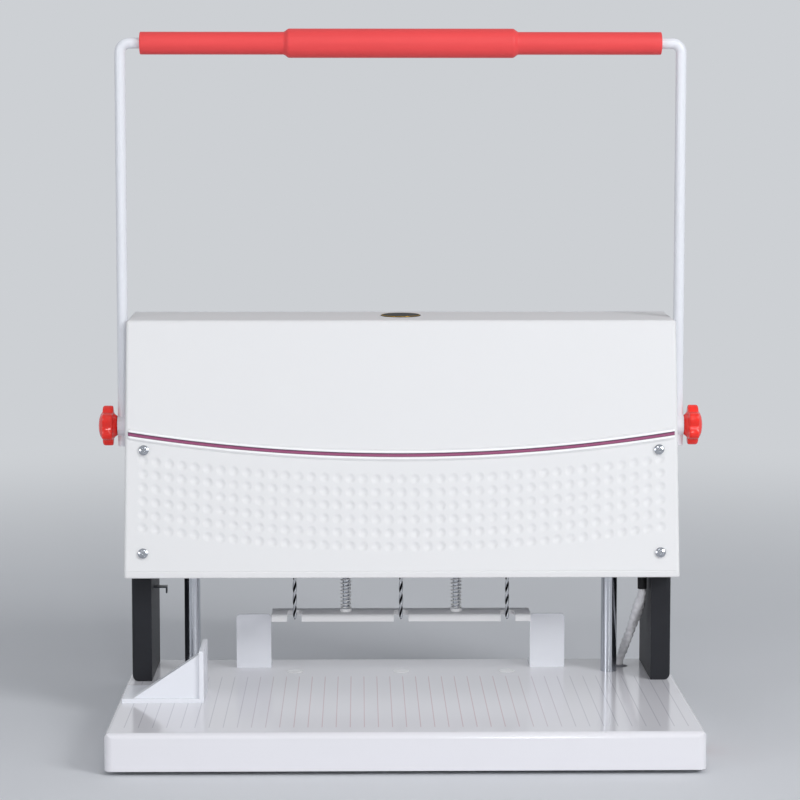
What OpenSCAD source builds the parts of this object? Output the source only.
// Three-hole binding machine. A head with three drills slides down two guide columns when
// the lever is pulled forward: a pinion on each end of the lever rolls down a rack on each post.
// +X is right, +Y is to the rear, +Z is up, and the origin is on the table under the middle of the base.
// Lengths are in millimetres. A height is counted from the bed, the top of the base.

/* [Drilling] */
// Distance from one drill to the next
hole_pitch = 80; // [60:0.5:110]
// Diameter of the drills
drill_dia = 3.2; // [3:0.1:7]
// Length in which a drill's flutes turn once
flute_lead = 19; // [10:0.5:30]
// Height of the drill tips at rest
tip_gap = 39.7; // [25:0.1:55]
// Height that is left between tip and pad at the end of the stroke
tip_stop = 0.3; // [0.2:0.1:2]
// Diameter of the pads that the drills end on
pad_dia = 12; // [9:0.5:16]
// Depth of the pads in the bed
pad_depth = 4; // [2:0.5:5]
// Height of the pads over the bed
pad_proud = 0.2; // [0:0.05:1]
// Distance from the drills to the face of the paper stops
hole_margin = 14.6; // [10:0.1:20]

/* [Base] */
// Depth of the base, front to rear
base_d = 260; // [230:1:330]
// Height of the base shell
base_h = 26; // [24:0.5:40]
// Thickness of the bed
bed_t = 6; // [5:0.5:8]
// Thickness of the skirt round the base
skirt_t = 4; // [3:0.5:6]
// Radius of the bed's long edges
bed_edge_r = 4; // [1:0.5:5]
// Radius of the upright corners
base_corner_r = 6; // [5:0.5:10]
// Width of bed outside each post
post_inset = 4.3; // [4:0.1:15]
// Thickness of the bottom plate
bottom_t = 1.5; // [1:0.1:3]
// Height of the feet
foot_h = 3; // [2:0.5:8]
// Diameter of the feet
foot_dia = 20; // [12:1:30]
// Distance from the base's sides to the middle of the feet
foot_inset = 36; // [25:1:60]
// Diameter of the bosses that hold the bottom plate
boss_dia = 14; // [10:0.5:16]
// Distance from the base's sides to the middle of the bosses
boss_inset = 16; // [13:0.5:20]

/* [Paper stops and fence] */
// Width of a paper stop
stop_w = 26.4; // [18:0.1:30]
// Height of a paper stop
stop_h = 41.2; // [30:0.1:50]
// Thickness of a paper stop
stop_t = 2.5; // [1.5:0.1:4]
// Radius of a paper stop's upper corners
stop_corner_r = 3; // [1:0.5:6]
// Length of a paper stop's foot
stop_foot = 22; // [18:0.5:25]
// Way that a paper stop slides from its middle
stop_travel = 4; // [1:0.5:5]
// Gap between the press plate and the paper stops
stop_side_gap = 1.3; // [0.5:0.1:4]
// Length of the paper's edge between fence and far side
paper_w = 284.2; // [210:0.1:300]
// Height of the fence
fence_h = 37; // [20:0.5:60]
// Depth of the fence, front to rear
fence_d = 48; // [30:1:60]
// Thickness of the fence's face
fence_t = 3.3; // [2:0.1:6]
// Length of the fence's foot
fence_foot = 58.2; // [45:0.1:70]
// Thickness of the fence's foot
fence_foot_t = 3; // [2:0.1:6]
// Distance from the front of the base to the fence
fence_setback = 99; // [60:1:110]
// Thickness of the fence's rib
rib_t = 10; // [4:0.5:20]
// Distance that the rib ends short of the foot's end
rib_inset = 8; // [3:0.5:15]
// Distance from the front of the fence to its rib
rib_setback = 2.5; // [0:0.5:10]
// Height that the rib ends below the top of the fence
rib_drop = 2.6; // [0:0.1:8]

/* [Press plate] */
// Length of the press plate outside the outer drills
press_end = 17; // [12:0.5:25]
// Depth of the press plate, front to rear
press_d = 31; // [24:0.5:34]
// Thickness of the press plate's sheet
press_t = 2.2; // [1.5:0.1:4]
// Height of the press plate with its folded lips
press_lip = 5.3; // [4:0.1:10]
// Height of the press plate over the drill tips
press_over = 1; // [0.5:0.1:5]
// Width of the notches that the drills pass through
notch_w = 11; // [9:0.5:16]
// Distance of the press rods from the middle
press_rod_x = 41.5; // [32:0.5:48]
// Diameter of the press rods
press_rod_dia = 5; // [3:0.1:6]
// Diameter of the collars on the press plate
press_collar_dia = 8.4; // [8.4:0.1:12]
// Height of the collars on the press plate
press_collar_h = 2.2; // [1.5:0.1:8]
// Gap between press rod and spring wire
press_spring_gap = 0.7; // [0.6:0.1:2]
// Wire of the press springs
press_wire = 1; // [0.6:0.1:1.2]
// Curls in a press spring
press_curls = 28; // [12:1:30]

/* [Head] */
// Gap between the head and the paper stops at the end of the stroke
head_clear = 0.6; // [0.4:0.1:5]
// Distance from the drills to the front, at the head's lower edge
front_low = 61; // [55:0.5:80]
// Distance from the drills to the front, at the head's top
front_top = 23; // [20:0.5:40]
// Height that the roof rises from front to rear
roof_rise = 2.4; // [0:0.1:6]
// Thickness of the covers
cover_wall = 2.5; // [2:0.1:4]
// Radius of the front cover's top edges
cover_top_r = 2.5; // [1:0.5:10]
// Radius of the front cover's other edges
cover_edge_r = 2.5; // [1:0.5:6]
// Depth of the front cover's lower lip
lip_d = 8; // [6:0.5:12]
// Thickness of the two plates that hold the spindles
plate_t = 8; // [6:0.5:12]
// Thickness of the side plates
side_t = 3; // [2:0.1:5]
// Gap between side plates and posts
side_gap = 2; // [1:0.1:5]
// Gap between posts and front cover
post_side_gap = 0.8; // [0.5:0.1:3]
// Room over the columns at the end of the stroke
top_clear = 5.3; // [2:0.1:12]
// Diameter of the cover screws' heads
screw_head_dia = 7.4; // [6:0.1:9]
// Height of the cover screws' heads
screw_head_h = 2.6; // [1.5:0.1:3.5]
// Diameter of the screws
screw_dia = 4; // [3:0.1:5]
// Height of the upper cover screws over the lower ones
screw_rise = 74; // [50:1:80]
// Height of the lower cover screws over the head's lower edge
screw_low = 18; // [12:0.5:25]
// Distance of the cover screws from the head's sides
screw_inset = 14; // [10:0.5:16]
// Width of the stripe
stripe_w = 2.6; // [1:0.1:6]
// Depth of the stripe's groove
stripe_depth = 0.8; // [0.4:0.1:1.5]
// Height of the stripe's middle over the head's lower edge
stripe_rise = 88.2; // [80:0.2:120]
// Height that the stripe's ends rise
stripe_sag = 15.5; // [5:0.5:30]
// Diameter of the plain plate on top
badge_dia = 30; // [15:0.5:40]
// Thickness of the plain plate on top
badge_t = 0.8; // [0.6:0.1:3]

/* [Spindles and motor] */
// Diameter of a spindle in its bearings
spindle_dia = 12; // [10:0.5:12]
// Diameter of a spindle between its bearings
shoulder_dia = 14; // [13:0.5:17]
// Outside diameter of the spindle bearings
bearing_dia = 24; // [20:0.5:28]
// Diameter of the chuck at a spindle's end
chuck_dia = 24; // [18:0.5:30]
// Length of the chuck
chuck_len = 22; // [18:0.5:35]
// Depth of the drill in the chuck
shank_len = 15; // [8:0.5:16]
// Gap between chuck and raised press plate
chuck_clear = 1.8; // [1:0.1:6]
// Gap between chuck and lower plate
chuck_gap = 1; // [0.5:0.1:3]
// Diameter of the motor
motor_dia = 52; // [40:0.5:60]
// Length of the motor
motor_len = 70; // [50:1:72]
// Thickness of the motor's can
motor_wall = 3; // [2:0.5:4]
// Gap on each side of the motor
motor_gap = 4.5; // [3:0.1:8]
// Gap between rotor and can
rotor_gap = 2; // [1:0.5:5]
// Diameter of the motor's shaft
motor_shaft_dia = 8; // [5:0.5:9]
// Diameter of the pulleys under the belt
pulley_dia = 30; // [24:0.5:31]
// Width of a belt
belt_w = 6; // [4:0.5:9]
// Thickness of a belt
belt_t = 1.6; // [1:0.1:2]
// Thickness of a pulley's flanges
flange_t = 1; // [0.8:0.1:2]

/* [Columns and return springs] */
// Diameter of the guide columns
column_dia = 12; // [9:0.5:14]
// Diameter of the column's threaded end
column_neck_dia = 10; // [6:0.5:10]
// Wall of the bushes on the columns
bush_wall = 3; // [2:0.1:4]
// Length of a bush outside its plate
bush_proud = 2; // [1:0.1:5]
// Height of the collar on a column
collar_h = 5; // [3:0.5:8]
// Length of column over the upper bush
column_over = 5; // [2:0.5:12]
// Gap between column and spring wire
return_spring_gap = 1; // [0.9:0.1:2]
// Wire of the return springs
return_wire = 2; // [1.5:0.1:2]
// Curls in a return spring
return_curls = 10; // [6:1:12]
// Length that is left over in a pressed return spring
return_spare = 14.5; // [5:0.5:30]

/* [Posts, racks and pinions] */
// Thickness of a post
post_w = 14.7; // [12.5:0.1:22]
// Distance from the drills to the front of the posts
post_front = 35; // [32:0.5:36]
// Height of the wide part of the posts
post_h = 115; // [100:1:130]
// Radius of the posts' outer edges
post_edge_r = 3.5; // [1:0.5:5]
// Radius of the posts' outer lower corner
post_foot_r = 5; // [1:0.5:6]
// Distance from the rear of the base to the posts
post_rear_gap = 6; // [6:0.1:10]
// Thickness of the arm that carries a rack
arm_t = 10; // [8:0.5:14]
// Thickness of a rack behind its teeth
rack_back = 5; // [4.5:0.5:8]
// Module of the teeth
tooth_module = 2.5; // [1.5:0.25:3]
// Teeth on a pinion
pinion_teeth = 20; // [16:1:24]
// Width of the teeth
tooth_w = 12; // [8:0.5:12]
// Play between the teeth
backlash = 0.5; // [0.3:0.05:0.8]
// Gap between pinion and post at the end of the stroke
pinion_clear = 5.3; // [2:0.1:12]

/* [Lever] */
// Diameter of the lever's rod
rod_dia = 8; // [6:0.5:12]
// Distance from the lever's pivot to its top bar
lever_reach = 283.5; // [200:0.5:360]
// Radius of the lever's bends
bend_r = 7; // [6.5:0.5:20]
// Length of the legs under the pivot
leg_tail = 15.3; // [10:0.1:25]
// Gap between head and lever
leg_gap = 0.5; // [0.4:0.1:3]
// Diameter of the lever's eyes
eye_dia = 16; // [14:0.5:22]
// Diameter of the lever's shafts
shaft_dia = 10; // [8:0.5:11]
// Diameter of the shafts' outer studs
stud_dia = 8; // [5:0.5:8]
// Distance from the head's sides to the ends of the grip
grip_inset = 10.4; // [5:0.1:40]
// Diameter of the grip
grip_dia = 16.7; // [13:0.1:25]
// Length of the thick part of the grip
grip_mid_len = 168; // [80:1:250]
// Diameter of the thick part of the grip
grip_mid_dia = 21.5; // [17:0.1:30]
// Length of the grip's tapers
grip_taper = 3; // [1:0.5:10]
// Diameter of the star knobs
knob_dia = 30; // [24:0.5:40]
// Thickness of a star knob's disc
knob_disc_t = 8; // [5:0.5:12]
// Length of a star knob's hub
knob_hub = 3; // [2:0.1:6]
// Height of a star knob's dome
knob_dome = 3.2; // [2:0.1:5]
// Lobes on a star knob
knob_lobes = 6; // [5:1:8]

/* [Switch and inlet] */
// Distance of the switch in front of the base's middle
switch_front = 60; // [30:1:85]
// Length of the switch
switch_len = 19; // [17:0.5:24]
// Height of the switch
switch_h = 13; // [11:0.5:15]
// Angle between the switch's two states
switch_tilt = 20; // [10:1:24]
// Distance of the inlet left of the base's middle
inlet_left = 120; // [60:1:150]
// Width of the inlet's flange
inlet_w = 26; // [24:0.5:30]
// Height of the inlet's flange
inlet_h = 14; // [13:0.5:15]

/* [Hidden] */
$fn = 64;

// Clearances: a shaft in its hole, a piece beside a moving piece, a screw in its clearance hole
run_gap = 0.05;
free_gap = 0.3;
hole_gap = 0.2;
// Length that a cut runs past the face that it opens
past = 1;

// Heights over the bed
bed_z = foot_h + base_h;
stroke = tip_gap - pad_proud - tip_stop;
head_low = stop_h + stroke + head_clear;
press_low = tip_gap + press_over;
press_top = press_low + press_lip;
chuck_low = press_top + stroke + chuck_clear;
lower_z = chuck_low + chuck_len + chuck_gap;
lower_top = lower_z + plate_t;
collar_low = lower_top + bush_proud + free_gap;
collar_top = collar_low + collar_h;
return_len = stroke + (return_curls + 2) * return_wire + return_spare;
upper_z = collar_top + return_len + bush_proud;
upper_top = upper_z + plate_t;
column_top = upper_top + bush_proud + column_over;
head_top = column_top + stroke + top_clear + cover_wall;
pitch_r = tooth_module * pinion_teeth / 2;
tip_r = pitch_r + tooth_module;
pivot = post_h + pinion_clear + tip_r + stroke;

// Places to the right of the middle
return_spring_dia = column_dia + 2 * (return_spring_gap + return_wire);
press_spring_dia = press_rod_dia + 2 * (press_spring_gap + press_wire);
motor_x = hole_pitch + shoulder_dia / 2 + motor_gap + motor_dia / 2;
column_x = motor_x + motor_dia / 2 + motor_gap + return_spring_dia / 2;
shaft_head_t = 3.2;
shaft_head_in = column_x + return_spring_dia / 2 + 2.5;
bush_in = shaft_head_in + shaft_head_t + free_gap;
side_in = bush_in + 8;
side_out = side_in + side_t;
post_in = side_out + side_gap;
post_out = post_in + post_w;
post_mid = (post_in + post_out) / 2;
cover_in = post_out + post_side_gap;
cover_out = cover_in + cover_wall;
base_w = 2 * (post_out + post_inset);
leg_x = cover_out + leg_gap + rod_dia / 2;
knob_in = leg_x + rod_dia / 2 + free_gap;
shaft_bush_out = post_mid - tooth_w / 2 - free_gap;
stop_x = hole_pitch + press_end + stop_side_gap + stop_w / 2;

// Places behind the middle
base_rear = base_d / 2;
post_rear = base_rear - post_rear_gap;
arm_front = post_rear - arm_t;
rack_root = arm_front - rack_back;
pitch_y = rack_root - 1.25 * tooth_module;
drill_y = pitch_y - pitch_r;
cover_rear = base_rear - screw_head_h - hole_gap;
rear_in = cover_rear - cover_wall;
post_front_y = drill_y - post_front;
front_low_y = drill_y - front_low;
front_top_y = drill_y - front_top;
lean = atan2(front_top_y - front_low_y, head_top - head_low);
plate_rear = rear_in - side_t - free_gap;
stop_y = drill_y + hole_margin;

// The front cover's front leans back: its place at a height over the bed
function front_y(h) = front_low_y + (h - head_low) * tan(lean);
function front_in_y(h) = front_y(h) + cover_wall / cos(lean);

// The roof rises to the rear: its tilt, and its height over the bed at a place
roof_tilt = atan2(roof_rise, cover_rear - front_top_y);
function roof_h(y) = head_top + (y - front_top_y) * tan(roof_tilt);

// The lead's route from its grommet to its relief, and its place
lead_dia = 5.6;
lead_off_x = 10;
lead_off_y = 18;
lead_at = [column_x + lead_off_x, drill_y + lead_off_y];
grommet_h = 1;
lead_route = [[0, 0, 0], [0, 0, 2], [3, -6, 14], [5.8, -13, 26], [8.6, -20, 38], [11.2, -26.5, 49],
    [13.2, -31, 58], [13.5, -32, 62], [13.5, -32, 64]];
lead_top = lead_route[len(lead_route) - 1];

// General shapes

module lift() { translate([0, 0, bed_z]) children(); }

module both_sides() {
    children();
    mirror([1, 0, 0]) children();
}

// A flat shape drawn as (Y, Z), carried from x0 to x1
module side_prism(x0, x1) {
    translate([x0, 0, 0]) rotate([90, 0, 90]) linear_extrude(x1 - x0) children();
}

// A flat shape drawn as (X, Z), carried from y0 to y1
module front_prism(y0, y1) {
    translate([0, y1, 0]) rotate([90, 0, 0]) linear_extrude(y1 - y0) children();
}

// A cylinder along X from x0 to x1
module x_rod(x0, x1, dia) { translate([x0, 0, 0]) rotate([0, 90, 0]) cylinder(h = x1 - x0, d = dia); }

function unit(v) = v / norm(v);

// A convex outline with a radius, or 0, at each of its corners
module rounded_outline(points, radii) {
    n = len(points);
    function before(i) = unit(points[(i + n - 1) % n] - points[i]);
    function after(i) = unit(points[(i + 1) % n] - points[i]);
    function half_angle(i) = acos(before(i) * after(i)) / 2;
    polygon([for (i = [0 : n - 1]) let (t = radii[i] / tan(half_angle(i)))
        each radii[i] > 0 ? [points[i] + before(i) * t, points[i] + after(i) * t] : [points[i]]]);
    for (i = [0 : n - 1]) if (radii[i] > 0)
        translate(points[i] + unit(before(i) + after(i)) * radii[i] / sin(half_angle(i)))
            circle(radii[i]);
}

module rounded_rectangle(low, high, r) {
    rounded_outline([low, [high[0], low[1]], high, [low[0], high[1]]], [r, r, r, r]);
}

module stadium(length, width) {
    square([length - width, width], center = true);
    for (s = [-1, 1]) translate([s * (length - width) / 2, 0]) circle(d = width);
}

// A place on the leaning front, with +Z out of the cover and +Y up along it
module on_front(x, h) {
    lift() translate([x, front_y(h), h]) rotate([90 - lean, 0, 0]) children();
}

// Pan-head screw: the head stands on the plane z = 0, with the shank below
module pan_screw(length) {
    difference() {
        union() {
            intersection() {
                cylinder(h = screw_head_h, d = screw_head_dia);
                translate([0, 0, screw_head_h - screw_head_dia]) sphere(screw_head_dia);
            }
            translate([0, 0, -length]) cylinder(h = length + past / 2, d = screw_dia - 2 * run_gap);
        }
        for (a = [0, 90]) rotate(a) translate([0, 0, screw_head_h])
            cube([screw_head_dia * 0.5, 1, 2.4], center = true);
    }
}

// Flat-head screw: the head is flush with the plane z = 0, with the shank below
flat_head_h = 2;
module flat_screw(length) {
    translate([0, 0, -flat_head_h])
        cylinder(h = flat_head_h, d1 = screw_dia - 2 * run_gap, d2 = 2 * screw_dia - 2 * run_gap);
    translate([0, 0, -length]) cylinder(h = length - flat_head_h + 0.01, d = screw_dia - 2 * run_gap);
}
module flat_screw_hole(length) {
    translate([0, 0, -flat_head_h]) cylinder(h = flat_head_h, d1 = screw_dia, d2 = 2 * screw_dia);
    translate([0, 0, -length]) cylinder(h = length, d = screw_dia);
    cylinder(h = past, d = 2 * screw_dia);
}

// A closed skin of triangles over rings of points, each with the same number of sides
module skin(rings, sides) {
    n = len(rings) / sides;
    walls = [for (i = [0 : n - 2]) for (k = [0 : sides - 1])
        let (a = i * sides + k, b = i * sides + (k + 1) % sides)
        each [[a, a + sides, b], [b, a + sides, b + sides]]];
    start_cap = [for (k = [1 : sides - 2]) [0, k, k + 1]];
    end_cap = [for (k = [1 : sides - 2]) [0, k + 1, k] + (n - 1) * sides * [1, 1, 1]];
    polyhedron(rings, concat(walls, start_cap, end_cap));
}

// A round tube swept along points, with rings square to the path
function path_tangent(p, i) = unit(p[min(i + 1, len(p) - 1)] - p[max(i - 1, 0)]);
module swept_tube(path, normals, r, sides) {
    skin([for (i = [0 : len(path) - 1]) let (u = normals[i], v = unit(cross(path_tangent(path, i), u)))
        for (k = [0 : sides - 1]) path[i] + r * (cos(k * 360 / sides) * u + sin(k * 360 / sides) * v)],
        sides);
}

// A coil spring on the Z axis: both wire ends run straight up for one wire diameter
spring_steps = 8;
function coil_path(r, length, wire, curls) = let (n = curls * spring_steps) concat([[r, 0, 0]],
    [for (i = [0 : n]) let (a = i * 360 / spring_steps)
        [r * cos(a), r * sin(a), wire + (length - 2 * wire) * i / n]],
    [[r * cos(curls * 360), r * sin(curls * 360), length]]);
function coil_normals(path) = [for (p = path) unit([p[0], p[1], 0])];
module coil_spring(r, length, wire, curls) {
    path = coil_path(r, length, wire, curls);
    swept_tube(path, coil_normals(path), wire / 2, 6);
}
function least_gap(path, wire) = min([for (i = [0 : len(path) - 1])
    for (j = [i + spring_steps / 2 : len(path) - 1]) norm(path[i] - path[j])]) - wire;

// Base

bolt_dia = 6;
post_bolt_off = 14;
post_bolt_y = [post_front_y + post_bolt_off, drill_y + post_bolt_off];
stop_screw_y = stop_y + stop_t + stop_foot / 2;
inner_low_z = foot_h + bottom_t;
inner_top_z = bed_z - bed_t;
socket_z = (inner_low_z + inner_top_z) / 2;
flange_depth = 2;
switch_at = [base_w / 2, -switch_front, socket_z];

module at_corners(inset) {
    for (x = [-1, 1]) for (y = [-1, 1])
        translate([x * (base_w / 2 - inset), y * (base_d / 2 - inset), 0]) children();
}

module base_blank() {
    corner = base_corner_r;
    intersection() {
        translate([0, 0, foot_h]) linear_extrude(base_h)
            rounded_rectangle([-base_w / 2, -base_d / 2], [base_w / 2, base_d / 2], corner);
        front_prism(-base_d / 2, base_d / 2) rounded_outline(
            [[-base_w / 2, foot_h], [base_w / 2, foot_h], [base_w / 2, bed_z], [-base_w / 2, bed_z]],
            [0, 0, bed_edge_r, bed_edge_r]);
        side_prism(-base_w / 2, base_w / 2) rounded_outline(
            [[-base_d / 2, foot_h], [base_d / 2, foot_h], [base_d / 2, bed_z], [-base_d / 2, bed_z]],
            [0, 0, bed_edge_r, bed_edge_r]);
    }
}

module base_shell() color("#eef0f4") difference() {
    union() {
        difference() {
            base_blank();
            translate([skirt_t - base_w / 2, skirt_t - base_d / 2, foot_h - past])
                cube([base_w - 2 * skirt_t, base_d - 2 * skirt_t, base_h - bed_t + past]);
        }
        at_corners(boss_inset) translate([0, 0, inner_low_z])
            cylinder(h = inner_top_z - inner_low_z + past, d = boss_dia);
    }
    at_corners(boss_inset) translate([0, 0, inner_low_z - past])
        cylinder(h = bottom_screw_len, d = screw_dia);
    both_sides() {
        translate([column_x, drill_y, inner_top_z - past])
            cylinder(h = bed_t + 2 * past, d = column_neck_dia + hole_gap);
        for (y = post_bolt_y) translate([post_mid, y, inner_top_z - past])
            cylinder(h = bed_t + 2 * past, d = bolt_dia + hole_gap);
        translate([stop_x, stop_screw_y, inner_top_z - past])
            cylinder(h = bed_t + 2 * past, d = screw_dia);
    }
    for (i = [-1 : 1]) translate([i * hole_pitch, drill_y, bed_z - pad_depth])
        cylinder(h = pad_depth + past, d = pad_dia);
    translate([lead_at[0], lead_at[1], inner_top_z - past])
        cylinder(h = bed_t + 2 * past, d = lead_dia + 4);
    inlet_place() {
        translate([0, 0, -flange_depth]) linear_extrude(flange_depth + past)
            stadium(inlet_w + hole_gap, inlet_h + hole_gap);
        translate([0, 0, -skirt_t - past]) linear_extrude(skirt_t)
            stadium(inlet_w - 4 + hole_gap, inlet_h - 4 + hole_gap);
    }
    switch_place() translate([0, 0, -skirt_t - past]) linear_extrude(skirt_t + 2 * past)
        square([switch_len + hole_gap, switch_h + hole_gap], center = true);
}

bottom_gap = free_gap;
module base_bottom_plate() color("#8d9096") translate([0, 0, foot_h]) difference() {
    linear_extrude(bottom_t) rounded_rectangle(
        [skirt_t + bottom_gap - base_w / 2, skirt_t + bottom_gap - base_d / 2],
        [base_w / 2 - skirt_t - bottom_gap, base_d / 2 - skirt_t - bottom_gap], 2);
    at_corners(boss_inset) translate([0, 0, -past])
        cylinder(h = bottom_t + 2 * past, d = screw_dia + hole_gap);
}

bottom_screw_len = 11;
module bottom_screws() color("#b9bcc2") at_corners(boss_inset)
    translate([0, 0, foot_h]) mirror([0, 0, 1]) intersection() {
        pan_screw(bottom_screw_len);
        translate([0, 0, -bottom_screw_len])
            cylinder(h = bottom_screw_len + foot_h * 0.6, d = screw_head_dia);
    }

module rubber_feet() color("#26272a") at_corners(foot_inset) {
    cylinder(h = foot_h, d1 = foot_dia - 2, d2 = foot_dia);
}

module drill_pads() color("#f4f4f0") for (i = [-1 : 1])
    translate([i * hole_pitch, drill_y, bed_z - pad_depth])
        cylinder(h = pad_depth + pad_proud, d = pad_dia - 2 * run_gap);

neck_len = bed_t + 9;
nut_h = 7;
module guide_columns() color("#d9dbe0") lift() both_sides() translate([column_x, drill_y, 0]) {
    translate([0, 0, -neck_len]) cylinder(h = neck_len + past, d = column_neck_dia);
    cylinder(h = column_top - 1, d = column_dia);
    translate([0, 0, column_top - 1]) cylinder(h = 1, d1 = column_dia, d2 = column_dia - 2);
    translate([0, 0, collar_low]) cylinder(h = collar_h, d = return_spring_dia);
}

bolt_head_h = 4;
bolt_grip = 14;
module base_fasteners() color("#a9adb4") both_sides() {
    translate([column_x, drill_y, inner_top_z - nut_h]) difference() {
        cylinder(h = nut_h, d = column_neck_dia * 1.9, $fn = 6);
        translate([0, 0, -past]) cylinder(h = nut_h + 2 * past, d = column_neck_dia + 2 * run_gap);
    }
    for (y = post_bolt_y) translate([post_mid, y, inner_top_z]) {
        translate([0, 0, -bolt_head_h]) cylinder(h = bolt_head_h, d = bolt_dia * 1.7, $fn = 6);
        cylinder(h = bed_t + bolt_grip - past, d = bolt_dia - 2 * run_gap);
    }
}

// Posts, racks and what is fixed to them

module post() {
    shoulder = post_front / 2;
    lift() difference() {
        intersection() {
            side_prism(post_in, post_out) polygon([[post_front_y, 0], [post_rear, 0],
                [post_rear, pivot + rack_over], [arm_front, pivot + rack_over], [arm_front, post_h],
                [post_front_y + shoulder, post_h], [post_front_y, post_h - shoulder]]);
            front_prism(post_front_y, post_rear) rounded_outline(
                [[post_in, 0], [post_out, 0], [post_out, pivot + rack_over], [post_in, pivot + rack_over]],
                [0, post_foot_r, 0, 0]);
            linear_extrude(pivot + rack_over) rounded_outline(
                [[post_in, post_front_y], [post_out, post_front_y], [post_out, post_rear],
                [post_in, post_rear]],
                [0, post_edge_r, post_edge_r, 0]);
        }
        for (y = post_bolt_y) translate([post_mid, y, -past]) cylinder(h = bolt_grip + past, d = bolt_dia);
        for (h = rack_screw_h) translate([post_mid, post_rear, h]) rotate([90, 0, 0]) {
            translate([0, 0, -past]) cylinder(h = arm_t + 2 * past, d = screw_dia + hole_gap);
            translate([0, 0, -past]) cylinder(h = rack_head_depth + past, d = screw_head_dia + hole_gap);
        }
    }
}
module left_post() color("#2c2d31") mirror([1, 0, 0]) post();
module right_post() color("#2c2d31") post();

tooth_pitch = PI * tooth_module;
teeth_over = 3;
teeth_under = ceil((stroke + 20) / tooth_pitch);
rack_over = teeth_over * tooth_pitch + 5;
rack_head_depth = 5;
rack_screw_h = [pivot + (teeth_over - 1) * tooth_pitch, pivot - (teeth_under - 1) * tooth_pitch];
pressure_angle = 20;

function rack_tooth(h) = let (half = tooth_pitch / 4 - backlash / 4,
    root = half + 1.25 * tooth_module * tan(pressure_angle),
    crest = half - tooth_module * tan(pressure_angle))
    [[rack_root, h - root], [pitch_y - tooth_module, h - crest], [pitch_y - tooth_module, h + crest],
    [rack_root, h + root]];

module racks() color("#8f939a") lift() both_sides() difference() {
    side_prism(post_mid - tooth_w / 2, post_mid + tooth_w / 2) polygon(concat(
        [[arm_front, pivot - teeth_under * tooth_pitch], [rack_root, pivot - teeth_under * tooth_pitch]],
        [for (k = [-teeth_under : teeth_over - 1]) each rack_tooth(pivot + (k + 0.5) * tooth_pitch)],
        [[rack_root, pivot + teeth_over * tooth_pitch], [arm_front, pivot + teeth_over * tooth_pitch]]));
    for (h = rack_screw_h) translate([post_mid, arm_front + past, h]) rotate([90, 0, 0])
        cylinder(h = rack_back + past - 1, d = screw_dia);
}

module rack_screws() color("#b9bcc2") lift() both_sides() for (h = rack_screw_h)
    translate([post_mid, post_rear - rack_head_depth, h]) rotate([-90, 0, 0])
        pan_screw(arm_t - rack_head_depth + rack_back - 1.5);

tab_t = 1;
tab_w = 8;
tab_reach = 10;
tab_h = 67.2;
tab_drop = 5;
tab_set_back = 22;
tab_y = post_front_y + tab_set_back;
module trip_tab() color("#b9bbc0") lift() mirror([1, 0, 0]) front_prism(tab_y, tab_y + tab_w) {
    translate([post_in - tab_reach, tab_h - tab_t]) square([tab_reach, tab_t]);
    translate([post_in - tab_reach, tab_h - tab_drop]) square([tab_t, tab_drop]);
}

// Inlet, switch and lead

module inlet_place() {
    translate([-inlet_left, base_rear, socket_z]) rotate([-90, 0, 0]) children();
}

inlet_depth = 16;
socket_depth = 12;
pin_gap = 8.6;
module power_inlet() color("#232427") inlet_place() {
    difference() {
        union() {
            translate([0, 0, -flange_depth]) linear_extrude(flange_depth) stadium(inlet_w, inlet_h);
            translate([0, 0, -inlet_depth]) linear_extrude(inlet_depth - past)
                stadium(inlet_w - 4, inlet_h - 4);
        }
        translate([0, 0, -socket_depth]) linear_extrude(socket_depth + past)
            stadium(inlet_w - 8, inlet_h - 6);
    }
    for (s = [-1, 1]) translate([s * pin_gap / 2, 0, -socket_depth - past])
        cylinder(h = socket_depth - 1, d = 2.4);
}

// The switch is on the right side of the base, with +Z out of the side
module switch_place() { translate(switch_at) rotate([0, 90, 0]) rotate(90) children(); }

switch_depth = 12;
rocker_len = switch_len - 4;
rocker_w = switch_h - 4;
pivot_dia = 2;
module switch_housing() color("#1f2023") switch_place() {
    difference() {
        union() {
            linear_extrude(flange_depth / 2) square([switch_len + 3, switch_h + 3], center = true);
            translate([0, 0, -switch_depth]) linear_extrude(switch_depth + past / 2)
                square([switch_len, switch_h], center = true);
        }
        translate([0, 0, past - 6]) linear_extrude(6 + past)
            square([rocker_len + 4 * free_gap, rocker_w + 2 * free_gap], center = true);
    }
    rotate([90, 0, 0]) cylinder(h = rocker_w + 2, d = pivot_dia, center = true);
}

module switch_rocker() color("#b5221c") switch_place() rotate([0, switch_tilt / 2, 0]) rotate([90, 0, 0])
    linear_extrude(rocker_w, center = true) difference() {
        polygon([[-rocker_len / 2 + 0.6, -2], [rocker_len / 2 - 0.6, -2], [rocker_len / 2 - 0.3, 3.4],
            [0, 2.4], [-rocker_len / 2 + 0.3, 3.4]]);
        circle(d = pivot_dia + 2 * run_gap);
    }

module lead_grommet() color("#2a2b2e") translate([lead_at[0], lead_at[1], 0]) {
    translate([0, 0, bed_z]) cylinder(h = grommet_h, d1 = lead_dia + 7, d2 = lead_dia + 2);
    translate([0, 0, inner_top_z - 3]) cylinder(h = bed_t + 3 + past / 2, d = lead_dia + 4 - 2 * run_gap);
}

module lead_sleeve() color("#b4b4ba") lift() translate([lead_at[0], lead_at[1], grommet_h])
    swept_tube(lead_route, [for (i = [0 : len(lead_route) - 1])
        unit(cross(path_tangent(lead_route, i), [1, 0, 0]))], lead_dia / 2, 8);

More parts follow.
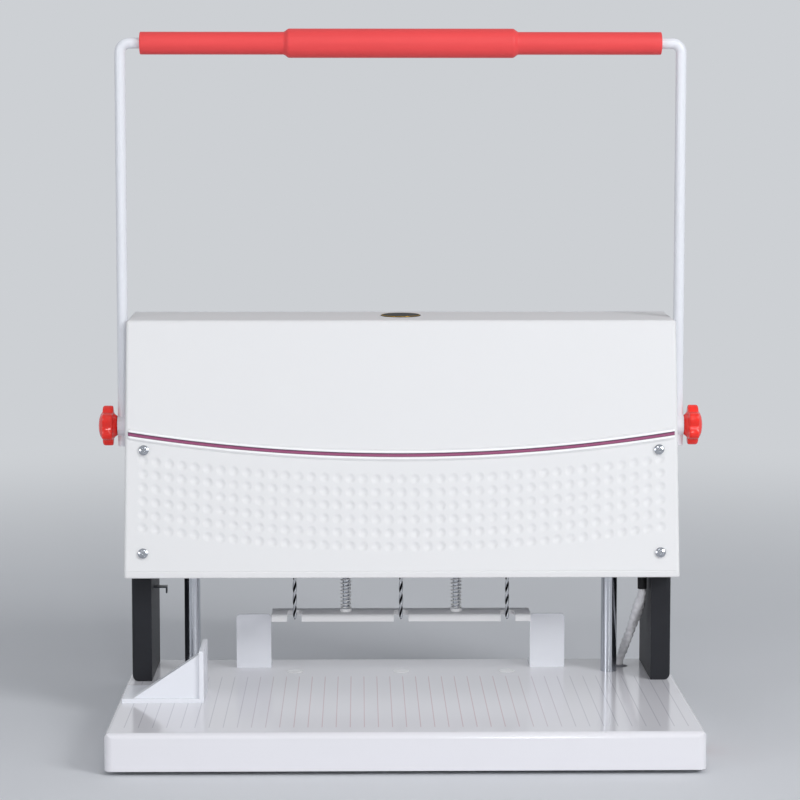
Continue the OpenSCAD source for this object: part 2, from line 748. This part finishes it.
relief_flange_t = 3;
relief_flange_w = 14;
relief_flange_in = 10;
relief_flange_short = 1;
relief_low = grommet_h + lead_top[2];
module lead_relief() color("#1e1f22") lift()
    translate([lead_at[0] + lead_top[0], lead_at[1] + lead_top[1], 0]) {
        translate([0, 0, relief_low])
            cylinder(h = lower_z - relief_low, d1 = lead_dia + 1.2, d2 = lead_dia + 2.4);
        translate([side_in - relief_flange_in - lead_at[0] - lead_top[0], -relief_flange_w / 2,
            lower_z - relief_flange_t])
            cube([relief_flange_in - relief_flange_short + side_gap + side_t, relief_flange_w,
                relief_flange_t]);
    }

// Paper stops and side fence

module paper_stop() {
    foot_t = stop_t;
    lift() difference() {
        union() {
            front_prism(stop_y, stop_y + stop_t) rounded_outline(
                [[stop_x - stop_w / 2, 0], [stop_x + stop_w / 2, 0], [stop_x + stop_w / 2, stop_h],
                [stop_x - stop_w / 2, stop_h]], [0, 0, stop_corner_r, stop_corner_r]);
            translate([stop_x - stop_w / 2, stop_y + stop_t / 2, 0])
                cube([stop_w, stop_t / 2 + stop_foot, foot_t]);
        }
        translate([stop_x, stop_screw_y, -past]) rotate(90) linear_extrude(foot_t + 2 * past)
            stadium(2 * stop_travel + screw_dia + 2 * free_gap + 1, screw_dia + 2 * free_gap);
    }
}
module left_stop() color("#eceef3") mirror([1, 0, 0]) paper_stop();
module right_stop() color("#eceef3") paper_stop();

module stop_screws() color("#c9ccd2") lift() both_sides()
    translate([stop_x, stop_screw_y, stop_t + free_gap]) pan_screw(stop_t + free_gap + bed_t - past);

module side_fence() color("#eef0f5") lift() mirror([1, 0, 0])
    translate([paper_w / 2, fence_setback - base_d / 2, 0]) {
        cube([fence_t, fence_d, fence_h]);
        cube([fence_foot, fence_d, fence_foot_t]);
        front_prism(rib_setback, rib_setback + rib_t) polygon([[fence_t / 2, fence_foot_t / 2],
            [fence_foot - rib_inset, fence_foot_t / 2], [fence_foot - rib_inset, fence_foot_t],
            [fence_t, fence_h - rib_drop], [fence_t / 2, fence_h - rib_drop]]);
    }

// Frame of the head

press_hole_dia = press_spring_dia + 2;
bush_dia = column_dia + 2 * (run_gap + bush_wall);
module spindle_plate(z, front) {
    translate([0, 0, z]) difference() {
        translate([-side_in, front, 0]) cube([2 * side_in, plate_rear - front, plate_t]);
        for (i = [-1 : 1]) translate([i * hole_pitch, drill_y, -past])
            cylinder(h = plate_t + 2 * past, d = bearing_dia);
        both_sides() {
            translate([column_x, drill_y, -past]) cylinder(h = plate_t + 2 * past, d = bush_dia);
            for (y = frame_screw_y) translate([side_out, y, plate_t / 2]) rotate([0, 90, 0])
                flat_screw_hole(frame_screw_len);
        }
    }
}

frame_screw_off = 22;
frame_screw_y = [drill_y - frame_screw_off, drill_y + frame_screw_off];
frame_screw_len = 12;
module lower_plate() color("#c3c6cc") lift() difference() {
    spindle_plate(lower_z, front_in_y(lower_top) + side_t);
    both_sides() translate([press_rod_x, drill_y, lower_z - past])
        cylinder(h = plate_t + 2 * past, d = press_hole_dia);
    at_limit_switch() translate([-past, 0, 0]) cube(switch_body + [past, 0, 0]);
}

motor_boss_dia = motor_shaft_dia + 12;
module upper_plate() color("#c3c6cc") lift() difference() {
    spindle_plate(upper_z, front_in_y(upper_top) + side_t);
    translate([motor_x, drill_y, upper_z - past]) cylinder(h = plate_t + 2 * past, d = motor_boss_dia);
}

seat_gap = 0.1;
flange_w = side_out - side_in + screw_inset;
rear_flange_w = 14;
tongue_low = head_low + screw_low / 2;
web_top = upper_top + 10;
web_rear = rear_in - seat_gap;
rear_screw_h = [lower_top + 12, upper_z - 12];
rear_screw_x = side_in - 6;

module side_plate() {
    function seat_y(h) = front_in_y(h) + seat_gap;
    flange_top = head_low + screw_low + screw_rise + 12;
    lift() difference() {
        union() {
            side_prism(side_in, side_out) polygon([[seat_y(lower_z), lower_z], [seat_y(web_top), web_top],
                [web_rear, web_top], [web_rear, lower_z]]);
            side_prism(side_in, side_in + flange_w) polygon([[seat_y(tongue_low), tongue_low],
                [seat_y(flange_top), flange_top], [seat_y(flange_top) + side_t, flange_top],
                [seat_y(tongue_low) + side_t, tongue_low]]);
            translate([side_in - rear_flange_w, web_rear - side_t, lower_top])
                cube([rear_flange_w + side_t / 2, side_t, upper_z - lower_top]);
        }
        translate([0, drill_y, pivot]) x_rod(side_in - past, side_out + past, shaft_dia + 6);
        for (z = [lower_z, upper_z]) for (y = frame_screw_y)
            translate([side_out, y, z + plate_t / 2]) rotate([0, 90, 0]) flat_screw_hole(frame_screw_len);
        for (h = rear_screw_h) translate([rear_screw_x, web_rear - side_t - past, h]) rotate([-90, 0, 0])
            cylinder(h = side_t + 2 * past, d = screw_dia);
    }
}

thread_reach = 20;
module screwed_side_plate() difference() {
    side_plate();
    front_screw_places() translate([0, 0, -thread_reach])
        cylinder(h = thread_reach + past, d = screw_dia);
}
module left_side_plate() color("#b4b8bf") mirror([1, 0, 0]) screwed_side_plate();
module right_side_plate() color("#b4b8bf") screwed_side_plate();

module frame_screws() color("#b9bcc2") lift() both_sides()
    for (z = [lower_z, upper_z]) for (y = frame_screw_y)
        translate([side_out, y, z + plate_t / 2]) rotate([0, 90, 0]) flat_screw(frame_screw_len);

module bronze_bushes() color("#b8894a") lift() both_sides() {
    for (z = [lower_z, upper_z]) translate([column_x, drill_y, z - bush_proud]) difference() {
        cylinder(h = plate_t + 2 * bush_proud, d = bush_dia);
        translate([0, 0, -past])
            cylinder(h = plate_t + 2 * bush_proud + 2 * past, d = column_dia + 2 * run_gap);
    }
    translate([0, drill_y, pivot]) difference() {
        x_rod(bush_in, shaft_bush_out, shaft_dia + 6);
        x_rod(bush_in - past, shaft_bush_out + past, shaft_dia + 2 * run_gap);
    }
}

module spindle_bearings() color("#9a9ea6") lift() for (z = [lower_z, upper_z]) for (i = [-1 : 1])
    translate([i * hole_pitch, drill_y, z]) difference() {
        cylinder(h = plate_t, d = bearing_dia);
        translate([0, 0, -past]) cylinder(h = plate_t + 2 * past, d = spindle_dia + 2 * run_gap);
    }

// Covers

module front_screw_places() {
    for (rise = [screw_low, screw_low + screw_rise])
        on_front(cover_out - screw_inset, head_low + rise) children();
}

module cover_solid(shrink) {
    top = head_top - shrink;
    half = cover_out - shrink;
    reach = 2 * head_top;
    low_y = front_low_y + shrink / cos(lean);
    top_r = max(cover_top_r - shrink, 0);
    edge_r = max(cover_edge_r - shrink, 0);
    intersection() {
        side_prism(-half, half) rounded_outline([[low_y, head_low], [rear_in, head_low],
            [rear_in, roof_h(rear_in) - shrink], [front_y(top) + shrink / cos(lean), top]],
            [0, 0, 0, top_r]);
        translate([0, front_top_y, top]) rotate([roof_tilt, 0, 0]) front_prism(-reach, reach)
            rounded_outline([[-half, -reach], [half, -reach], [half, 0], [-half, 0]], [0, 0, top_r, top_r]);
        translate([0, low_y, head_low]) rotate([-lean, 0, 0]) translate([0, 0, -reach / 2])
            linear_extrude(reach) rounded_outline([[-half, 0], [half, 0], [half, reach], [-half, reach]],
                [edge_r, edge_r, 0, 0]);
    }
}

stripe_half = cover_out - cover_edge_r;
stripe_r = stripe_half * stripe_half * cos(lean) / (2 * stripe_sag) + stripe_sag / (2 * cos(lean));
module stripe_arc(width) on_front(0, head_low + stripe_rise) translate([0, 0, -stripe_depth])
    intersection() {
    translate([0, stripe_r, 0]) difference() {
        cylinder(h = stripe_depth + past, r = stripe_r + width / 2, $fn = 720);
        translate([0, 0, -past]) cylinder(h = stripe_depth + 3 * past, r = stripe_r - width / 2, $fn = 720);
    }
    translate([-stripe_half, -stripe_sag, 0]) cube([2 * stripe_half, 4 * stripe_sag, stripe_depth]);
}

module front_cover() color("#e9ebf0") difference() {
    lift() difference() {
        cover_solid(0);
        intersection() {
            cover_solid(cover_wall);
            translate([-cover_out, front_low_y, head_low + cover_wall])
                cube([2 * cover_out, base_d, head_top]);
        }
        translate([-cover_in, front_low_y + lip_d, head_low - past])
            cube([2 * cover_in, base_d, cover_wall + 2 * past]);
        translate([0, drill_y, pivot]) x_rod(-cover_out - past, cover_out + past, shaft_dia + 4);
    }
    both_sides() front_screw_places() translate([0, 0, -2 * cover_wall])
        cylinder(h = 2 * cover_wall + past, d = screw_dia + hole_gap);
    stripe_arc(stripe_w);
}

module stripe_trim() color("#94466f") stripe_arc(stripe_w - 2 * run_gap);

slot_pitch = 9;
slot_len = 40;
module rear_cover() color("#e4e6eb") lift() difference() {
    front_prism(rear_in, cover_rear) rounded_outline([[-cover_out, head_low], [cover_out, head_low],
        [cover_out, roof_h(cover_rear)], [-cover_out, roof_h(cover_rear)]],
        [0, 0, cover_top_r, cover_top_r]);
    for (i = [-3 : 3]) translate([motor_x + i * slot_pitch, cover_rear + past, upper_z - motor_len / 2])
        rotate([90, 0, 0]) linear_extrude(cover_wall + 2 * past)
            rotate(90) stadium(slot_len, slot_pitch / 2);
    both_sides() for (h = rear_screw_h) translate([rear_screw_x, rear_in - past, h]) rotate([-90, 0, 0])
        cylinder(h = cover_wall + 2 * past, d = screw_dia + hole_gap);
}

module cover_screws() color("#c9ccd2") both_sides() {
    front_screw_places() pan_screw(cover_wall + side_t + 2);
    lift() for (h = rear_screw_h) translate([rear_screw_x, cover_rear, h]) rotate([-90, 0, 0])
        pan_screw(cover_wall + side_t + 2);
}

badge_y = drill_y + 14;
badge_rim = 1.5;
module badge_plate() color("#17171a") lift() translate([0, badge_y, roof_h(badge_y)])
    rotate([roof_tilt, 0, 0]) {
        cylinder(h = badge_t * 0.6, d = badge_dia);
        cylinder(h = badge_t, d = badge_dia - 2 * badge_rim);
    }

// Motor, spindles, pulleys and belts

pulley_z = upper_top + 3;
level_h = belt_w + 2 * flange_t;
shaft_top = pulley_z + 3 * level_h + 3;
pulley_rim_dia = pulley_dia + 2 * (free_gap + belt_t + free_gap);

module motor_can() color("#6f737a") lift() translate([motor_x, drill_y, upper_z]) difference() {
    union() {
        translate([0, 0, -motor_len]) cylinder(h = motor_len, d = motor_dia);
        cylinder(h = plate_t, d = motor_boss_dia - 2 * run_gap);
    }
    translate([0, 0, 2 * motor_wall - motor_len])
        cylinder(h = motor_len - 3 * motor_wall, d = motor_dia - 2 * motor_wall);
    translate([0, 0, motor_wall - motor_len])
        cylinder(h = motor_len + plate_t + past, d = motor_shaft_dia + 2 * run_gap);
}

rotor_end_gap = 4;
module motor_rotor() color("#8d5f3a") lift() translate([motor_x, drill_y, 0]) {
    translate([0, 0, upper_z - motor_len + motor_wall + free_gap])
        cylinder(h = shaft_top - upper_z + motor_len - motor_wall - free_gap, d = motor_shaft_dia);
    translate([0, 0, upper_z - motor_len + 2 * motor_wall + rotor_end_gap])
        cylinder(h = motor_len - 3 * motor_wall - 2 * rotor_end_gap,
            d = motor_dia - 2 * motor_wall - 2 * rotor_gap);
}

module pulley(x, first, count, bore) {
    lift() translate([x, drill_y, pulley_z + first * level_h]) difference() {
        union() {
            cylinder(h = count * level_h, d = pulley_dia);
            for (i = [0 : count - 1]) for (z = [0, level_h - flange_t])
                translate([0, 0, i * level_h + z]) cylinder(h = flange_t, d = pulley_rim_dia);
        }
        translate([0, 0, -past]) cylinder(h = count * level_h + 2 * past, d = bore);
    }
}
module motor_pulley() color("#aeb2b9") pulley(motor_x, 2, 1, motor_shaft_dia);
module left_pulley() color("#aeb2b9") pulley(-hole_pitch, 0, 1, spindle_dia);
module centre_pulley() color("#aeb2b9") pulley(0, 0, 2, spindle_dia);
module right_pulley() color("#aeb2b9") pulley(hole_pitch, 1, 2, spindle_dia);

module belt(x0, x1, level) {
    inner = pulley_dia + 2 * free_gap;
    lift() translate([(x0 + x1) / 2, drill_y, pulley_z + level * level_h + flange_t + hole_gap])
        linear_extrude(belt_w - 2 * hole_gap) difference() {
            stadium(x1 - x0 + inner + 2 * belt_t, inner + 2 * belt_t);
            stadium(x1 - x0 + inner, inner);
        }
}
module drive_belts() color("#202124") {
    belt(-hole_pitch, 0, 0);
    belt(0, hole_pitch, 1);
    belt(hole_pitch, motor_x, 2);
}

module spindle(x) {
    taper_h = chuck_len / 3;
    lift() translate([x, drill_y, 0]) difference() {
        union() {
            translate([0, 0, chuck_low]) cylinder(h = taper_h, d1 = chuck_dia / 2, d2 = chuck_dia);
            translate([0, 0, chuck_low + taper_h]) cylinder(h = chuck_len - taper_h, d = chuck_dia);
            translate([0, 0, chuck_low + chuck_len - past])
                cylinder(h = shaft_top - chuck_low - chuck_len + past, d = spindle_dia);
            translate([0, 0, lower_top + free_gap])
                cylinder(h = upper_z - lower_top - 2 * free_gap, d = shoulder_dia);
        }
        translate([0, 0, chuck_low - past]) cylinder(h = shank_len + past, d = drill_dia);
    }
}
module left_spindle() color("#a4a8af") spindle(-hole_pitch);
module centre_spindle() color("#a4a8af") spindle(0);
module right_spindle() color("#a4a8af") spindle(hole_pitch);

// Outline of a drill across its axis: two round lands with two flutes between them
flute_shape = [1, 1, 0.66, 0.45, 0.66, 1];
drill_sides = 2 * len(flute_shape);
land_relief = 0.1;
rings_per_turn = 16;
chisel_share = 0.1;
function drill_ring(h, share, turn) = [for (k = [0 : drill_sides - 1])
    let (r = share * (drill_dia / 2 - land_relief) * flute_shape[k % len(flute_shape)],
        a = turn + 360 * k / drill_sides)
    [r * cos(a), r * sin(a), h]];
module drill(x) {
    point_h = drill_dia * 0.35;
    flute_h = chuck_low - tip_gap - point_h;
    turn = 360 * flute_h / flute_lead;
    steps = ceil(turn / 360 * rings_per_turn);
    lift() translate([x, drill_y, 0]) {
        translate([0, 0, tip_gap]) skin(concat(drill_ring(0, chisel_share, 0), [for (i = [0 : steps])
            each drill_ring(point_h + flute_h * i / steps, 1, turn * i / steps)]), drill_sides);
        translate([0, 0, chuck_low]) cylinder(h = shank_len - 0.5, d = drill_dia);
    }
}
module left_drill() color("#9fa2a8") drill(-hole_pitch);
module centre_drill() color("#9fa2a8") drill(0);
module right_drill() color("#9fa2a8") drill(hole_pitch);

// The limit switch sits in a pocket of the lower plate, over the trip tab
switch_body = [12, 10, 6];
switch_sunk = 3;
module at_limit_switch() {
    translate([-side_in, tab_y + tab_w / 2 - switch_body[1] / 2, lower_z + switch_sunk - switch_body[2]])
        children();
}
module limit_switch() color("#3a3c42") lift() at_limit_switch() cube(switch_body);

return_r = (return_spring_dia - return_wire) / 2;
module return_springs() color("#9a9da4") lift() both_sides() translate([column_x, drill_y, collar_top])
    coil_spring(return_r, return_len, return_wire, return_curls);

// Press plate

cup_seat = lower_top + 3;
cup_top = lower_top + 6;
rod_head_h = 4;
press_spring_low = press_top + press_collar_h;
press_spring_len = cup_seat - press_spring_low;
press_half = hole_pitch + press_end;

module press_plate() color("#d4d6db") lift() difference() {
    side_prism(-press_half, press_half) translate([drill_y - press_d / 2, press_low]) difference() {
        square([press_d, press_lip]);
        translate([press_t, -past]) square([press_d - 2 * press_t, press_lip - press_t + past]);
    }
    for (i = [-1 : 1]) translate([i * hole_pitch, drill_y, press_low - past]) {
        cylinder(h = press_lip + 2 * past, d = notch_w);
        translate([-notch_w / 2, -press_d, 0]) cube([notch_w, press_d, press_lip + 2 * past]);
    }
    both_sides() translate([press_rod_x, drill_y, press_low])
        cylinder(h = press_lip + past, d = press_rod_dia);
}

module press_rods() color("#d9dbe0") lift() both_sides() translate([press_rod_x, drill_y, 0]) {
    translate([0, 0, press_top - press_t])
        cylinder(h = cup_top + free_gap - press_top + press_t + past, d = press_rod_dia);
    translate([0, 0, cup_top + free_gap]) cylinder(h = rod_head_h, d = press_rod_dia + 4);
}

module press_collars() color("#cfd1d6") lift() both_sides() translate([press_rod_x, drill_y, press_top])
    difference() {
        cylinder(h = press_collar_h, d = press_collar_dia);
        translate([0, 0, -past]) cylinder(h = press_collar_h + 2 * past, d = press_rod_dia);
    }

press_r = (press_spring_dia - press_wire) / 2;
module press_springs() color("#c4c7cd") lift() both_sides()
    translate([press_rod_x, drill_y, press_spring_low])
        coil_spring(press_r, press_spring_len, press_wire, press_curls);

cup_flange_t = 2;
cup_flange_w = 5;
cup_wall = 2.5;
module spring_cups() color("#b8894a") lift() both_sides() translate([press_rod_x, drill_y, lower_top])
    difference() {
        union() {
            cylinder(h = cup_flange_t, d = press_hole_dia + 2 * cup_flange_w);
            cylinder(h = cup_top - lower_top, d = press_hole_dia + 2 * cup_wall);
        }
        translate([0, 0, -past]) cylinder(h = cup_seat - lower_top + past, d = press_hole_dia);
        cylinder(h = cup_top - lower_top + past, d = press_rod_dia + 2 * run_gap);
    }

echo(str("Least gap in a press spring: ",
    least_gap(coil_path(press_r, press_spring_len, press_wire, press_curls), press_wire), " mm"));
echo(str("Least gap in a return spring: ",
    least_gap(coil_path(return_r, return_len, return_wire, return_curls), return_wire), " mm"));

// Lever

lever_top = pivot + lever_reach;
module handle_bar() color("#e6e8ec") lift() difference() {
    union() {
        both_sides() translate([leg_x, drill_y, 0]) {
            translate([0, 0, pivot - leg_tail]) cylinder(h = lever_reach + leg_tail - bend_r, d = rod_dia);
            translate([-bend_r, 0, lever_top - bend_r]) rotate([90, 0, 0])
                rotate_extrude(angle = 90) translate([bend_r, 0]) circle(d = rod_dia);
            translate([0, 0, pivot]) x_rod(-rod_dia / 2, rod_dia / 2, eye_dia);
        }
        translate([0, drill_y, lever_top]) x_rod(bend_r - leg_x, leg_x - bend_r, rod_dia);
    }
    translate([0, drill_y, pivot]) x_rod(-leg_x - rod_dia, leg_x + rod_dia, shaft_dia);
}

grip_half = cover_out - grip_inset;
module grip_sleeve() color("#f04a48") lift() translate([0, drill_y, lever_top]) rotate([0, 90, 0])
    rotate_extrude() polygon([[rod_dia / 2, -grip_half], [grip_dia / 2 - 1, -grip_half],
        [grip_dia / 2, 1 - grip_half], [grip_dia / 2, -grip_mid_len / 2 - grip_taper],
        [grip_mid_dia / 2, -grip_mid_len / 2], [grip_mid_dia / 2, grip_mid_len / 2],
        [grip_dia / 2, grip_mid_len / 2 + grip_taper], [grip_dia / 2, grip_half - 1],
        [grip_dia / 2 - 1, grip_half], [rod_dia / 2, grip_half]]);

stud_len = knob_hub + knob_disc_t - 1;
module stub_shafts() color("#a9adb4") lift() both_sides() translate([0, drill_y, pivot]) {
    x_rod(shaft_head_in, shaft_head_in + shaft_head_t, shaft_dia + 4);
    x_rod(shaft_head_in, leg_x + rod_dia / 2, shaft_dia);
    x_rod(leg_x, knob_in + stud_len, stud_dia);
}

// Involute teeth: how far a flank is from its tooth's middle, as an angle at radius r
base_r = pitch_r * cos(pressure_angle);
function involute(a) = tan(a) * 180 / PI - a;
function flank_angle(r) = 90 / pinion_teeth - backlash / 4 / pitch_r * 180 / PI + involute(pressure_angle)
    - involute(acos(min(1, base_r / r)));
flank_steps = 4;
root_r = pitch_r - 1.25 * tooth_module;
flank = concat([[root_r, flank_angle(base_r)]], [for (i = [0 : flank_steps])
    let (r = max(base_r, root_r) + (tip_r - max(base_r, root_r)) * i / flank_steps) [r, flank_angle(r)]]);
function polar(r, a) = r * [cos(a), sin(a)];

module pinions() color("#8f939a") lift() both_sides() translate([0, drill_y, pivot])
    side_prism(post_mid - tooth_w / 2, post_mid + tooth_w / 2) difference() {
        polygon([for (t = [0 : pinion_teeth - 1]) let (a = t * 360 / pinion_teeth, n = len(flank) - 1)
            each concat([for (i = [0 : n]) polar(flank[i][0], a - flank[i][1])],
                [for (i = [0 : n]) polar(flank[n - i][0], a + flank[n - i][1])])]);
        circle(d = shaft_dia);
    }

// A star knob on the Z axis, with its hub at z = 0
module star_knob() {
    lobe_dia = knob_dia * 0.3;
    dome_r = (knob_dia * knob_dia / 4 + knob_dome * knob_dome) / (2 * knob_dome);
    difference() {
        union() {
            cylinder(h = knob_hub + past, d = stud_dia + 7);
            translate([0, 0, knob_hub]) intersection() {
                linear_extrude(knob_disc_t + knob_dome) {
                    circle(d = knob_dia - lobe_dia * 0.7);
                    for (i = [0 : knob_lobes - 1]) rotate(i * 360 / knob_lobes)
                        translate([(knob_dia - lobe_dia) / 2, 0]) circle(d = lobe_dia);
                }
                translate([0, 0, knob_disc_t + knob_dome - dome_r]) sphere(dome_r, $fn = 128);
            }
        }
        translate([0, 0, -past]) cylinder(h = stud_len + free_gap + past, d = stud_dia + 2 * run_gap);
    }
}
module placed_knob() lift() translate([knob_in, drill_y, pivot]) rotate([0, 90, 0]) star_knob();
module left_knob() color("#e32a22") mirror([1, 0, 0]) placed_knob();
module right_knob() color("#e32a22") placed_knob();

base_shell();
base_bottom_plate();
bottom_screws();
rubber_feet();
drill_pads();
guide_columns();
base_fasteners();
left_post();
right_post();
racks();
rack_screws();
trip_tab();
power_inlet();
switch_housing();
switch_rocker();
lead_grommet();
lead_sleeve();
lead_relief();
stop_screws();
left_stop();
right_stop();
side_fence();
lower_plate();
upper_plate();
left_side_plate();
right_side_plate();
frame_screws();
bronze_bushes();
spindle_bearings();
spring_cups();
front_cover();
rear_cover();
cover_screws();
stripe_trim();
badge_plate();
motor_can();
motor_rotor();
motor_pulley();
left_spindle();
centre_spindle();
right_spindle();
left_drill();
centre_drill();
right_drill();
left_pulley();
centre_pulley();
right_pulley();
drive_belts();
limit_switch();
return_springs();
press_plate();
press_rods();
press_collars();
press_springs();
handle_bar();
grip_sleeve();
stub_shafts();
pinions();
left_knob();
right_knob();
